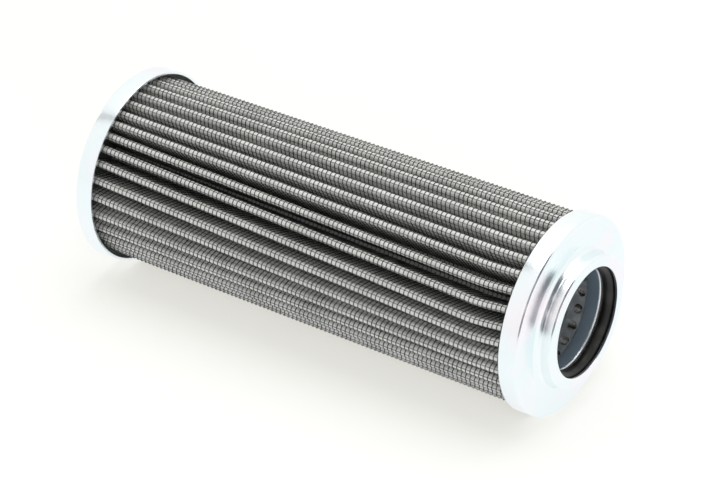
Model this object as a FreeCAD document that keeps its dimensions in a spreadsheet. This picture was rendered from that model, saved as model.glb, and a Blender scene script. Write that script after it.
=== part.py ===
"""Pleated filter element with pressed end caps, standing on its closed end cap.

The origin is the centre of the closed cap's outer face, and +Z runs along the axis to the open end.
Each sub-part is drawn in its own frame and set at its height by its Placement. Millimetres.
"""

import FreeCAD, Part
import os

import Sketcher

SIZES = {
    # Whole element
    "length_over_caps": 175.0,      # outer face to outer face, without the collar
    "spigot_radius": 17.5,          # the outlet spigot that the open end slides over
    # Pressed end caps
    "cap_radius": 34.0,
    "cap_sheet": 1.0,
    "cap_corner": 1.0,              # rounding between a flat face and its skirt
    "skirt_height": 6.8,
    # Seal ring held in the open cap's collar
    "ring_stretch": 0.5,            # how far the spigot stretches the ring's bore
    "ring_section_radius": 2.0,
    "ring_edge_clearance": 0.7,     # ring to collar wall
    "ring_seat_clearance": 0.05,    # ring to the flange below it
    "ring_lip_clearance": 0.45,     # ring to the lip above it
    # Collar drawn up in the open end cap
    "collar_shoulder": 1.0,         # rounding at the collar's top
    "collar_fillet": 2.4,           # hollow rounding at the collar's foot
    "mouth_clearance": 1.3,         # spigot to the hole in the collar's lip
    # Flanged guide sleeve under the seal ring
    "sleeve_clearance": 0.15,       # spigot to sleeve
    "sleeve_sheet": 0.8,
    "sleeve_length": 5.0,           # from the flange's top to the sleeve's lower end
    "sleeve_corner": 0.7,           # rounding between the flange and the bore
    "flange_rise": 0.3,             # flange top above the open cap's flat face
    "flange_clearance": 0.1,        # flange edge to collar wall
    # Perforated support tube
    "tube_fit_clearance": 0.05,     # sleeve in tube
    "tube_sheet": 0.8,
    "hole_radius": 1.7,
    "hole_margin": 2.6,             # first and last rows to the adhesive and to the sleeve's end
    "hole_count": 4,                # holes in one row round the tube
    "hole_row_pairs": 3,            # each pair is a row and the staggered row above it
    # Pleated pack: outer mesh, medium and inner mesh folded together
    "pleat_count": 35,
    "pleat_turn": 3.6,              # degrees about the axis, from +Y to the side seam's pleat
    "tip_clearance": 0.8,           # pleat tips to the inside of the skirts
    "root_clearance": 0.1,          # pleat roots to the support tube
    "fold_radius": 0.9,             # to the middle of the pack's thickness at a pleat tip
    "outer_mesh_thickness": 0.5,
    "medium_thickness": 0.3,
    "inner_mesh_thickness": 0.4,
    # Adhesive
    "bed_thickness": 2.5,
    "seam_bond_depth": 7.0,
}

# Flats that stand for round forms, kept few where a form repeats

CAP_CORNER_FLATS = 1
COLLAR_FLATS = 2
SLEEVE_CORNER_FLATS = 1
RING_FLATS = 8
HOLE_FLATS = 6
TIP_FLATS = 2                       # to each quarter turn of a pleat's outer face
FOLD_FLATS = 1                      # to each quarter turn of the other folds

# Radii and heights that follow from the sizes

SPIGOT = "Sizes.spigot_radius"
MOUTH = f"({SPIGOT} + Sizes.mouth_clearance)"
RING_CENTRE = f"({SPIGOT} - Sizes.ring_stretch + Sizes.ring_section_radius)"
GLAND = f"({RING_CENTRE} + Sizes.ring_section_radius + Sizes.ring_edge_clearance)"
COLLAR = f"({GLAND} + Sizes.cap_sheet)"
SLEEVE_BORE = f"({SPIGOT} + Sizes.sleeve_clearance)"
SLEEVE_OUTER = f"({SLEEVE_BORE} + Sizes.sleeve_sheet)"
TUBE_BORE = f"({SLEEVE_OUTER} + Sizes.tube_fit_clearance)"
TUBE_OUTER = f"({TUBE_BORE} + Sizes.tube_sheet)"
SKIRT_BORE = "(Sizes.cap_radius - Sizes.cap_sheet)"

COLLAR_HEIGHT = (
    "(Sizes.flange_rise + Sizes.ring_seat_clearance + 2 * Sizes.ring_section_radius"
    " + Sizes.ring_lip_clearance + Sizes.cap_sheet)"
)
FLANGE_TOP = "(Sizes.length_over_caps + Sizes.flange_rise)"
BED_TOP = "(Sizes.cap_sheet + Sizes.bed_thickness)"
TUBE_LENGTH = f"({FLANGE_TOP} - Sizes.sleeve_sheet - {BED_TOP})"
PACK_LENGTH = f"(Sizes.length_over_caps - 2 * {BED_TOP})"

# Folds of the pack: faces are measured outwards from the middle of the pack's thickness

PACK_HALF = "((Sizes.outer_mesh_thickness + Sizes.medium_thickness + Sizes.inner_mesh_thickness) / 2)"
HALF_PITCH = "(180 / Sizes.pleat_count)"
TIP_CENTRE = f"({SKIRT_BORE} - Sizes.tip_clearance - {PACK_HALF} - Sizes.fold_radius)"
ROOT_CIRCLE = (
    f"(({TUBE_OUTER} + Sizes.root_clearance + {PACK_HALF} - Sizes.fold_radius)"
    f" / (1 - sin({HALF_PITCH})))"
)
ROOT_X = f"({ROOT_CIRCLE} * sin({HALF_PITCH}))"
ROOT_Y = f"({ROOT_CIRCLE} * cos({HALF_PITCH}))"

doc = FreeCAD.newDocument("filter_element")


def make_sheet():
    """Write every driving size into the sheet, one row each."""
    new_sheet = doc.addObject("Spreadsheet::Sheet", "Sizes")
    for row, (alias, value) in enumerate(SIZES.items(), start=1):
        new_sheet.set(f"A{row}", alias)
        new_sheet.set(f"B{row}", str(value))
        new_sheet.setAlias(f"B{row}", alias)
    doc.recompute()
    return new_sheet


sheet = make_sheet()


def number(expression):
    """The present value of an expression, for a sketch's starting geometry."""
    value = sheet.evalExpression(expression)
    return float(getattr(value, "Value", value))


def new_body(name, height="0", turn="0"):
    """A body at its height on the axis and its turn about it, named and labelled after its sub-part."""
    body = doc.addObject("PartDesign::Body", name)
    body.Label = name
    body.Placement.Rotation = FreeCAD.Rotation(FreeCAD.Vector(0, 0, 1), 1)
    body.setExpression("Placement.Rotation.Angle", turn)
    body.setExpression("Placement.Base.z", height)
    return body


def new_sketch(body, name, plane_role):
    """A sketch on one of the body's own origin planes."""
    sketch = body.newObject("Sketcher::SketchObject", name)
    plane = next(f for f in body.Origin.OriginFeatures if f.Role == plane_role)
    sketch.AttachmentSupport = [(plane, "")]
    sketch.MapMode = "FlatFace"
    return sketch


def bind_point(sketch, line, x, y):
    """Hold a line's first point at two expressions measured from the sketch's origin."""
    for kind, axis, expression in (("DistanceX", -2, x), ("DistanceY", -1, y)):
        if expression == "0":
            sketch.addConstraint(Sketcher.Constraint("PointOnObject", line, 1, axis))
            continue
        value = number(expression)
        ends = (-1, 1, line, 1) if value > 0 else (line, 1, -1, 1)
        index = sketch.addConstraint(Sketcher.Constraint(kind, *ends, abs(value)))
        sketch.setExpression(f"Constraints[{index}]", expression if value > 0 else f"-({expression})")


def toward(here, there):
    """Unit step from one corner to the next, along the sketch's axis that they share."""
    dx, dy = number(there[0]) - number(here[0]), number(there[1]) - number(here[1])
    return (0, 1 if dy > 0 else -1) if abs(dx) < abs(dy) else (1 if dx > 0 else -1, 0)


def rounded(corner, back, ahead):
    """Points that round a corner (x, y, radius, flats) between two lines along the sketch's axes."""
    x, y, radius, flats = corner
    points = []
    for i in range(flats + 1):
        near_back = f"{radius} * (1 - sin(90 * {i} / {flats}))"
        near_ahead = f"{radius} * (1 - cos(90 * {i} / {flats}))"
        points.append((
            f"{x} + {back[0]} * {near_back} + {ahead[0]} * {near_ahead}",
            f"{y} + {back[1]} * {near_back} + {ahead[1]} * {near_ahead}",
        ))
    return points


def draw_outline(sketch, corners):
    """Draw a closed outline through corners (x, y) or, rounded, (x, y, radius, flats)."""
    vertices = []
    for i, corner in enumerate(corners):
        if len(corner) == 2:
            vertices.append(corner)
            continue
        back = toward(corner, corners[i - 1])
        ahead = toward(corner, corners[(i + 1) % len(corners)])
        vertices.extend(rounded(corner, back, ahead))
    points = [FreeCAD.Vector(number(x), number(y), 0) for x, y in vertices]
    lines = [
        sketch.addGeometry(Part.LineSegment(start, end))
        for start, end in zip(points, points[1:] + points[:1])
    ]
    for line, following in zip(lines, lines[1:] + lines[:1]):
        sketch.addConstraint(Sketcher.Constraint("Coincident", line, 2, following, 1))
    for line, (x, y) in zip(lines, vertices):
        bind_point(sketch, line, x, y)


def regular_polygon(centre_x, centre_y, flat_radius, flats):
    """Corners of a regular outline whose flats touch a circle, the first flat facing +X."""
    corner_radius = f"{flat_radius} / cos(180 / {flats})"
    return [
        (
            f"{centre_x} + {corner_radius} * cos(360 * ({i} + 0.5) / {flats})",
            f"{centre_y} + {corner_radius} * sin(360 * ({i} + 0.5) / {flats})",
        )
        for i in range(flats)
    ]


def revolved_body(name, corners, height="0"):
    """A body turned about the axis from corners given as (radius, height)."""
    body = new_body(name, height)
    sketch = new_sketch(body, f"{name}_section", "XZ_Plane")
    draw_outline(sketch, corners)
    turn = body.newObject("PartDesign::Revolution", f"{name}_turn")
    turn.Profile = sketch
    turn.ReferenceAxis = (sketch, ["V_Axis"])
    turn.Angle = 360
    doc.recompute()
    return body


def add_pattern(body, kind, name, sizes):
    """A pattern in a body, with its counts and lengths bound to expressions."""
    result = body.newObject(f"PartDesign::{kind}", name)
    for key, expression in sizes.items():
        result.setExpression(key, expression)
    return result


def transform(body, name, feature, steps):
    """Repeat a feature by patterns and make the result the body's tip."""
    repeated = body.newObject("PartDesign::MultiTransform", name)
    repeated.Originals = [feature]
    repeated.Transformations = steps
    body.Tip = repeated
    doc.recompute()


# Closed end cap: a plain pressed cup, drawn from its outer face upwards

revolved_body("closed_end_cap", [
    ("0", "0"),
    ("Sizes.cap_radius", "0", "Sizes.cap_corner", CAP_CORNER_FLATS),
    ("Sizes.cap_radius", "Sizes.skirt_height"),
    (SKIRT_BORE, "Sizes.skirt_height"),
    (SKIRT_BORE, "Sizes.cap_sheet"),
    ("0", "Sizes.cap_sheet"),
])

# Open end cap: its skirt, flat face, and the collar with its lip, drawn from the skirt's rim upwards

FLAT_FACE = "Sizes.skirt_height"
FLAT_UNDERSIDE = f"{FLAT_FACE} - Sizes.cap_sheet"
LIP_TOP = f"{FLAT_FACE} + {COLLAR_HEIGHT}"
LIP_UNDERSIDE = f"{LIP_TOP} - Sizes.cap_sheet"

revolved_body("open_end_cap", [
    ("Sizes.cap_radius", "0"),
    ("Sizes.cap_radius", FLAT_FACE, "Sizes.cap_corner", CAP_CORNER_FLATS),
    (COLLAR, FLAT_FACE, "Sizes.collar_fillet", COLLAR_FLATS),
    (COLLAR, LIP_TOP, "Sizes.collar_shoulder", CAP_CORNER_FLATS),
    (MOUTH, LIP_TOP),
    (MOUTH, LIP_UNDERSIDE),
    (GLAND, LIP_UNDERSIDE),
    (GLAND, FLAT_UNDERSIDE, "(Sizes.collar_fillet + Sizes.cap_sheet)", COLLAR_FLATS),
    (SKIRT_BORE, FLAT_UNDERSIDE),
    (SKIRT_BORE, "0"),
], "Sizes.length_over_caps - Sizes.skirt_height")

# Flanged guide sleeve: its flange carries the seal ring, and its bore guides the outlet spigot

FLANGE_EDGE = f"{GLAND} - Sizes.flange_clearance"
FLANGE_UNDERSIDE = "Sizes.sleeve_length - Sizes.sleeve_sheet"

revolved_body("guide_sleeve", [
    (SLEEVE_BORE, "0"),
    (SLEEVE_OUTER, "0"),
    (SLEEVE_OUTER, FLANGE_UNDERSIDE),
    (FLANGE_EDGE, FLANGE_UNDERSIDE),
    (FLANGE_EDGE, "Sizes.sleeve_length"),
    (SLEEVE_BORE, "Sizes.sleeve_length", "Sizes.sleeve_corner", SLEEVE_CORNER_FLATS),
], f"{FLANGE_TOP} - Sizes.sleeve_length")

# Seal ring: a round section between the sleeve's flange and the collar's lip

revolved_body(
    "seal_ring",
    regular_polygon(RING_CENTRE, "Sizes.ring_section_radius", "Sizes.ring_section_radius", RING_FLATS),
    f"{FLANGE_TOP} + Sizes.ring_seat_clearance",
)

# Support tube: perforated sheet rolled into a tube, from the closed end's adhesive to the flange.
# Its rows of holes are spread evenly between the adhesive and the sleeve's lower end.

OPEN_LENGTH = f"({TUBE_LENGTH} - {FLANGE_UNDERSIDE} - 2 * Sizes.hole_margin)"
ROW_STEP = f"({OPEN_LENGTH} / (2 * Sizes.hole_row_pairs - 1))"

tube = revolved_body("support_tube", [
    (TUBE_BORE, "0"),
    (TUBE_OUTER, "0"),
    (TUBE_OUTER, TUBE_LENGTH),
    (TUBE_BORE, TUBE_LENGTH),
], BED_TOP)


def cut_hole_rows(name, first_height, turn):
    """Rows of holes round the tube, two row steps apart, turned from the first hole's direction."""
    sketch = new_sketch(tube, f"{name}_outline", "XZ_Plane")
    sketch.AttachmentOffset = FreeCAD.Placement(
        FreeCAD.Vector(), FreeCAD.Rotation(FreeCAD.Vector(0, 1, 0), 1)
    )
    sketch.setExpression("AttachmentOffset.Rotation.Angle", turn)
    draw_outline(sketch, regular_polygon("0", first_height, "Sizes.hole_radius", HOLE_FLATS))
    hole = tube.newObject("PartDesign::Pocket", f"{name}_hole")
    hole.Profile = sketch
    hole.setExpression("Length", f"{TUBE_OUTER} + Sizes.tube_sheet")
    along = {
        "Occurrences": "Sizes.hole_row_pairs",
        "Length": f"2 * {ROW_STEP} * (Sizes.hole_row_pairs - 1)",
    }
    around_step = add_pattern(tube, "PolarPattern", f"{name}_around", {"Occurrences": "Sizes.hole_count"})
    around_step.Axis = (sketch, ["V_Axis"])
    along_step = add_pattern(tube, "LinearPattern", f"{name}_along", along)
    along_step.Direction = (sketch, ["V_Axis"])
    transform(tube, f"{name}_rows", hole, [around_step, along_step])


cut_hole_rows("plain", "Sizes.hole_margin", "0")
cut_hole_rows("staggered", f"Sizes.hole_margin + {ROW_STEP}", "180 / Sizes.hole_count")


def half_fold(face, tip_flats):
    """Corners of one sheet face over half a pleat, from its valley's middle to its tip's middle."""
    corners = []
    radius = f"({ROOT_X} - Sizes.fold_radius - ({face}))"
    for i in range(FOLD_FLATS + 1):
        angle = f"((90 - {HALF_PITCH}) * {FOLD_FLATS - i} / {FOLD_FLATS})"
        corners.append((f"{ROOT_X} - {radius} * cos({angle})", f"{ROOT_Y} - {radius} * sin({angle})"))
    radius = f"(Sizes.fold_radius + ({face}))"
    for i in range(tip_flats + 1):
        angle = f"(90 * {i} / {tip_flats})"
        x = "0" if i == tip_flats else f"{radius} * cos({angle})"
        corners.append((x, f"{TIP_CENTRE} + {radius} * sin({angle})"))
    return corners


def padded_body(name, corners):
    """A body as long as the pack, padded up from an outline across the axis and turned with the pleats."""
    body = new_body(name, BED_TOP, "Sizes.pleat_turn")
    sketch = new_sketch(body, f"{name}_outline", "XY_Plane")
    draw_outline(sketch, corners)
    pad = body.newObject("PartDesign::Pad", f"{name}_pad")
    pad.Profile = sketch
    pad.setExpression("Length", PACK_LENGTH)
    doc.recompute()
    return body, sketch, pad


def folded_sheet(name, outer_side, inner_side):
    """One sheet of the pack: half a pleat between two faces, mirrored and repeated round the axis."""
    body, sketch, pad = padded_body(name, outer_side + inner_side[::-1])
    mirror = add_pattern(body, "Mirrored", f"{name}_mirror", {})
    mirror.MirrorPlane = (sketch, ["V_Axis"])
    around = add_pattern(body, "PolarPattern", f"{name}_around", {"Occurrences": "Sizes.pleat_count"})
    around.Axis = (sketch, ["N_Axis"])
    transform(body, f"{name}_pleats", pad, [mirror, around])


# Pleated pack: three sheets folded together, face to face, from the outside in

pack_outside = half_fold(PACK_HALF, TIP_FLATS)
medium_outside = half_fold(f"{PACK_HALF} - Sizes.outer_mesh_thickness", FOLD_FLATS)
medium_inside = half_fold(f"Sizes.inner_mesh_thickness - {PACK_HALF}", FOLD_FLATS)
pack_inside = half_fold(f"-{PACK_HALF}", FOLD_FLATS)

folded_sheet("outer_support_mesh", pack_outside, medium_outside)
folded_sheet("filter_medium", medium_outside, medium_inside)
folded_sheet("inner_support_mesh", medium_inside, pack_inside)

# Adhesive: a disc in the closed cap, a ring in the open cap, and a strip inside one pleat,
# where the ends of the three sheets meet

revolved_body("closed_end_adhesive", [
    ("0", "0"),
    (SKIRT_BORE, "0"),
    (SKIRT_BORE, "Sizes.bed_thickness"),
    ("0", "Sizes.bed_thickness"),
], "Sizes.cap_sheet")

revolved_body("open_end_adhesive", [
    (TUBE_OUTER, "0"),
    (SKIRT_BORE, "0"),
    (SKIRT_BORE, "Sizes.bed_thickness"),
    (TUBE_OUTER, "Sizes.bed_thickness"),
], f"Sizes.length_over_caps - {BED_TOP}")

SEAM_HALF = f"(Sizes.fold_radius - {PACK_HALF})"
SEAM_FOOT = f"({TIP_CENTRE} - Sizes.seam_bond_depth)"

padded_body("side_seam_bond", [
    (f"-{SEAM_HALF}", SEAM_FOOT),
    (SEAM_HALF, SEAM_FOOT),
    (SEAM_HALF, TIP_CENTRE),
    (f"-{SEAM_HALF}", TIP_CENTRE),
])

doc.recompute()

SUB_PARTS = [
    "closed_end_cap",
    "open_end_cap",
    "guide_sleeve",
    "seal_ring",
    "support_tube",
    "outer_support_mesh",
    "filter_medium",
    "inner_support_mesh",
    "closed_end_adhesive",
    "open_end_adhesive",
    "side_seam_bond",
]


def export_sub_parts():
    """Stop if anything in the document failed, then write one STEP file for each sub-part."""
    for item in doc.Objects:
        if "Invalid" in item.State or "Error" in item.State:
            raise RuntimeError(f"{item.Name} did not build: {item.State}")
    os.makedirs("parts", exist_ok=True)
    for name in SUB_PARTS:
        shape = doc.getObject(name).Shape
        if shape.isNull() or not shape.isValid() or len(shape.Solids) != 1:
            raise RuntimeError(f"{name} is not one valid solid")
        shape.exportStep(f"parts/{name}.step")
        print(f"{name}: {shape.Volume:.0f} cubic mm, {len(shape.Faces)} faces")


export_sub_parts()
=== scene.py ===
"""Looks of a pleated filter element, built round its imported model.

The part stands on its closed end cap with +Z to the open end. The photograph shows it lying down, so the
camera is rolled and the floor is a plane beside the part, with up along -Y. Lengths are in metres and
angles in radians, unless a name ends in _deg.
"""

import logging
import math
from dataclasses import dataclass, field, fields, replace
from enum import Enum
from typing import Any, ClassVar, Mapping, Sequence

import bmesh
import bpy
import numpy as np
from mathutils import Matrix, Vector


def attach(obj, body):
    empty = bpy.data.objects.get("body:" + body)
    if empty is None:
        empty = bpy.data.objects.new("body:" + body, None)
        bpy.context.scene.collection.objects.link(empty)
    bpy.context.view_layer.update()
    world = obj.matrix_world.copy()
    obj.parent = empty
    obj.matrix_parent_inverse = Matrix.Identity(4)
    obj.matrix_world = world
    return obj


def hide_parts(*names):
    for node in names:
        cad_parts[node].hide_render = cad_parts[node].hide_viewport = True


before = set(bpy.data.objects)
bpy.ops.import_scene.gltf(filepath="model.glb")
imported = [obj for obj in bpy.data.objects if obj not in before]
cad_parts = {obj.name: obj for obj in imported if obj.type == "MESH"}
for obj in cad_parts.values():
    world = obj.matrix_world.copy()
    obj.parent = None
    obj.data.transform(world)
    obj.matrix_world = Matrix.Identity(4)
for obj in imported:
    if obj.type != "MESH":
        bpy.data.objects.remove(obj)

LOG = logging.getLogger("filter_element")
MM = 0.001
ROOT_BODY = "root"
CLOTH_MAP = "cloth"
SHARP_ANGLE = math.radians(35)
MERGE_DISTANCE = 1e-6
AXIS_GUARD = 1e-6
ROW_GUARD = 1e-4

Color = tuple[float, float, float]
Place = tuple[float, float, float]
Corner = tuple[float, float, float]
Point2 = tuple[float, float]
Span = tuple[float, float]

WHITE: Color = (1.0, 1.0, 1.0)


class Slot(Enum):
    """The record's material slots."""

    ZINC_CAP = "zinc_cap"
    ZINC_SLEEVE = "zinc_sleeve"
    SEAL_RUBBER = "seal_rubber"
    TUBE_STEEL = "tube_steel"
    MESH_STEEL = "mesh_steel"
    MEDIUM_CLOTH = "medium_cloth"
    ADHESIVE = "adhesive"


# Node trees


@dataclass(frozen=True)
class Term:
    """A node's output socket, which takes part in arithmetic."""

    graph: "Graph"
    socket: bpy.types.NodeSocket

    def math(self, operation: str, *others: "Term | float") -> "Term":
        """Adds a Math node on this value and the others."""
        return self.graph.node("ShaderNodeMath", {"operation": operation}, dict(enumerate((self, *others))))

    def part(self, output: int | str) -> "Term":
        """Gives another output of the same node."""
        return Term(self.graph, self.socket.node.outputs[output])

    def __add__(self, other: "Term | float") -> "Term":
        """Sum."""
        return self.math("ADD", other)

    __radd__ = __add__

    def __sub__(self, other: "Term | float") -> "Term":
        """Difference."""
        return self.math("SUBTRACT", other)

    def __rsub__(self, other: float) -> "Term":
        """Difference from a number on the left."""
        return (self * -1.0).math("ADD", other)

    def __mul__(self, other: "Term | float") -> "Term":
        """Product."""
        return self.math("MULTIPLY", other)

    __rmul__ = __mul__

    def __truediv__(self, other: "Term | float") -> "Term":
        """Quotient."""
        return self.math("DIVIDE", other)

    def __mod__(self, other: "Term | float") -> "Term":
        """Remainder, never below nought."""
        return self.math("FLOORED_MODULO", other)


Value = Term | float


@dataclass(frozen=True)
class Graph:
    """A node tree, with the few calls that fill it."""

    tree: bpy.types.NodeTree

    def feed(self, socket: bpy.types.NodeSocket, value: Any) -> None:
        """Links a term to an input socket, or sets a plain value on it.

        Args:
            socket: The input socket.
            value: A term, a number, a colour or a data block.
        """
        if isinstance(value, Term):
            self.tree.links.new(value.socket, socket)
        else:
            socket.default_value = value

    def node(
        self,
        kind: str,
        settings: Mapping[str, Any] | None = None,
        inputs: Mapping[int | str, Any] | None = None,
        output: int | str = 0,
    ) -> Term:
        """Adds a node of any type.

        Args:
            kind: The node's type name.
            settings: Its properties. "stops" sets a ramp's stops, as pairs of a place and a colour.
            inputs: Values or terms for its input sockets, by name or number.
            output: The output that the term stands for.

        Returns:
            The term of that output.
        """
        made = self.tree.nodes.new(kind)
        for name, value in (settings or {}).items():
            if name == "stops":
                self._set_stops(made.color_ramp, value)
            else:
                setattr(made, name, value)
        for key, value in (inputs or {}).items():
            self.feed(made.inputs[key], value)
        return Term(self, made.outputs[output])

    @staticmethod
    def _set_stops(ramp: bpy.types.ColorRamp, stops: Sequence[tuple[float, Color]]) -> None:
        """Gives a ramp its stops.

        Args:
            ramp: The node's ramp, which comes with two stops.
            stops: Pairs of a place from 0 to 1 and a colour.
        """
        while len(ramp.elements) < len(stops):
            ramp.elements.new(1.0)
        for element, (place, color) in zip(ramp.elements, stops):
            element.position = place
            element.color = (*color, 1.0)

    def mix(self, factor: Value, first: Any, second: Any) -> Term:
        """Mixes two colours, each a term or three numbers, by the second one's share."""
        first, second = (end if isinstance(end, Term) else (*end, 1.0) for end in (first, second))
        return self.node("ShaderNodeMix", {"data_type": "RGBA"}, {0: factor, 6: first, 7: second}, output=2)

    def noise(self, place: Term, scale: float, detail: float = 2.0) -> Term:
        """Reads a noise from 0 to 1 at a place, with scale cells to the metre and finer layers."""
        return self.node("ShaderNodeTexNoise", None, {"Vector": place, "Scale": scale, "Detail": detail})

    def clamp_range(self, value: Term, low: float, high: float) -> Term:
        """Maps a value smoothly from 0 at low to 1 at high."""
        settings = {"interpolation_type": "SMOOTHSTEP"}
        return self.node("ShaderNodeMapRange", settings, {"Value": value, "From Min": low, "From Max": high})

    def spread(self, value: Term, ends: Span) -> Term:
        """Maps a value from 0 to 1 onto the span between two ends."""
        return value * (ends[1] - ends[0]) + ends[0]

    def bump(self, height: Term, depth: float, strength: float = 1.0) -> Term:
        """Turns a height from 0 to 1 into a normal, with its real depth and the share that shows."""
        return self.node("ShaderNodeBump", None, {"Strength": strength, "Distance": depth, "Height": height})

    def split(self, vector: Term) -> tuple[Term, Term, Term]:
        """Gives a vector's three parts."""
        x = self.node("ShaderNodeSeparateXYZ", None, {0: vector})
        return x, x.part(1), x.part(2)

    def join(self, x: Value = 0.0, y: Value = 0.0, z: Value = 0.0) -> Term:
        """Makes a vector of three parts."""
        return self.node("ShaderNodeCombineXYZ", None, {0: x, 1: y, 2: z})

    def object_place(self) -> Term:
        """Gives the point's object coordinates, which are the row frame's."""
        return self.node("ShaderNodeTexCoord", output="Object")

    def around_axis(self) -> tuple[Term, Term, Term, Term]:
        """Splits the point's place round the axis.

        Returns:
            The cosine and sine of the point's bearing, its radius and its height.
        """
        x, y, height = self.split(self.object_place())
        radius = (x * x + y * y).math("SQRT") + AXIS_GUARD
        return x / radius, y / radius, radius, height

    def set_surface(self, shader: Term) -> None:
        """Makes a shader the material's surface."""
        self.feed(self.tree.nodes["Material Output"].inputs["Surface"], shader)


# Finishes


@dataclass(frozen=True)
class Finish:
    """A procedural finish for one of the record's slots."""

    name: str
    slot: Slot
    metallic: float = 1.0
    roughness: Span = (0.30, 0.55)
    constants: Mapping[str, float] = field(default_factory=dict)

    def material(self) -> bpy.types.Material:
        """Makes the material, or gives the one that was made before.

        Returns:
            The material.
        """
        found = bpy.data.materials.get(self.name)
        if found:
            return found
        made = bpy.data.materials.new(self.name)
        made.use_nodes = True
        graph = Graph(made.node_tree)
        shader = made.node_tree.nodes["Principled BSDF"]
        values = {"Metallic": self.metallic, **self.constants, **self.pattern(graph)}
        for socket, value in values.items():
            graph.feed(shader.inputs[socket], value)
        return made

    def pattern(self, graph: Graph) -> dict[str, Any]:
        """Builds what changes over the surface.

        Args:
            graph: The material's node tree.

        Returns:
            Values by the name of the shader's socket.
        """
        raise NotImplementedError


@dataclass(frozen=True)
class BrushedZinc(Finish):
    """Zinc plating over sheet that was turned and brushed round the axis, with a faint rainbow cast."""

    tints: tuple[Color, ...] = (
        (0.95, 0.91, 0.985),
        (0.935, 0.98, 0.985),
        (0.89, 0.975, 0.985),
        (1.0, 0.935, 0.975),
    )
    tint_places: tuple[float, ...] = (0.30, 0.45, 0.58, 0.72)
    tint_scale: float = 32.0
    tint_detail: float = 1.5
    roughness: Span = (0.17, 0.29)
    groove_scale: float = 2600.0
    groove_drift: float = 1.5
    groove_depth: float = 0.010 * MM
    worn_share: float = 0.35
    worn_dim: float = 0.90

    def pattern(self, graph: Graph) -> dict[str, Any]:
        """Grooves round the axis, which also set the roughness, and tints in soft clouds.

        Args:
            graph: The material's node tree.

        Returns:
            Values by the name of the shader's socket.
        """
        cos, sin, radius, height = graph.around_axis()
        across = (radius + height) * self.groove_scale
        groove_place = graph.join(cos * self.groove_drift, sin * self.groove_drift, across)
        grooves = graph.noise(groove_place, 1.0, 3.0)
        clouds = graph.noise(graph.object_place(), self.tint_scale, self.tint_detail)
        stops = tuple(zip(self.tint_places, self.tints))
        tint = graph.node("ShaderNodeValToRGB", {"stops": stops}, {0: clouds})
        worn = tuple(self.worn_dim * c for c in self.tints[1])
        return {
            "Base Color": graph.mix(grooves * self.worn_share, tint, worn),
            "Roughness": graph.spread(grooves, self.roughness),
            "Normal": graph.bump(grooves, self.groove_depth),
        }


@dataclass(frozen=True)
class SleeveZinc(BrushedZinc):
    """Duller zinc in the sleeve's bore, with a painted highlight along the flange's corner above it."""

    painted_highlight: Color = (0.93, 0.955, 0.97)
    painted_highlight_heights: Span = (174.45 * MM, 174.75 * MM)

    def pattern(self, graph: Graph) -> dict[str, Any]:
        """Brushed zinc whose tint turns lighter up the flange's corner, as a painted highlight.

        Args:
            graph: The material's node tree.

        Returns:
            Values by the name of the shader's socket.
        """
        values = super().pattern(graph)
        *_, height = graph.around_axis()
        # Painted highlight: a lighter tint along the flange's corner stands for the bright line of reflection
        # there.
        share = graph.clamp_range(height, *self.painted_highlight_heights)
        return {**values, "Base Color": graph.mix(share, values["Base Color"], self.painted_highlight)}


@dataclass(frozen=True)
class PatchedSkin(Finish):
    """A fine grain under soft patches of a second colour, like dust. The defaults are drawn wire's."""

    color: Color = (0.052, 0.052, 0.049)
    patch_color: Color = (0.15, 0.148, 0.14)
    patch_scale: float = 220.0
    patch_detail: float = 3.0
    patch_span: Span = (0.40, 0.75)
    grain_scale: float = 3200.0
    grain_depth: float = 0.006 * MM
    rough_patches: bool = False

    def pattern(self, graph: Graph) -> dict[str, Any]:
        """Patches and a grain, one of which sets the roughness.

        Args:
            graph: The material's node tree.

        Returns:
            Values by the name of the shader's socket.
        """
        place = graph.object_place()
        patches = graph.noise(place, self.patch_scale, self.patch_detail)
        grain = graph.noise(place, self.grain_scale)
        share = graph.clamp_range(patches, *self.patch_span)
        return {
            "Base Color": graph.mix(share, self.color, self.patch_color),
            "Roughness": graph.spread(patches if self.rough_patches else grain, self.roughness),
            "Normal": graph.bump(grain, self.grain_depth),
        }


@dataclass(frozen=True)
class TubeSteel(Finish):
    """Dark rolled sheet with a faint lengthwise seam."""

    color: Color = (0.27, 0.295, 0.31)
    worn: Color = (0.42, 0.44, 0.45)
    worn_span: Span = (0.42, 0.72)
    roughness: Span = (0.34, 0.59)
    marks_around: float = 60.0
    marks_along: float = 40.0
    mottle_scale: float = 380.0
    seam_width: float = 0.02
    relief: float = 0.02 * MM

    def pattern(self, graph: Graph) -> dict[str, Any]:
        """Rolling marks along the tube, mottled scale, and the seam's pale line.

        Args:
            graph: The material's node tree.

        Returns:
            Values by the name of the shader's socket.
        """
        cos, sin, _, height = graph.around_axis()
        around = (cos * self.marks_around, sin * self.marks_around)
        marks = graph.noise(graph.join(*around, height * self.marks_along), 1.0, 3.0)
        mottle = graph.noise(graph.object_place(), self.mottle_scale, 3.0)
        seam = graph.clamp_range(sin.math("ABSOLUTE"), self.seam_width, 0.0) * cos.math("GREATER_THAN", 0.0)
        return {
            "Base Color": graph.mix(graph.clamp_range(mottle, *self.worn_span) + seam, self.color, self.worn),
            "Roughness": graph.spread(marks, self.roughness),
            "Normal": graph.bump(marks * 0.5 + seam, self.relief),
        }


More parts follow.
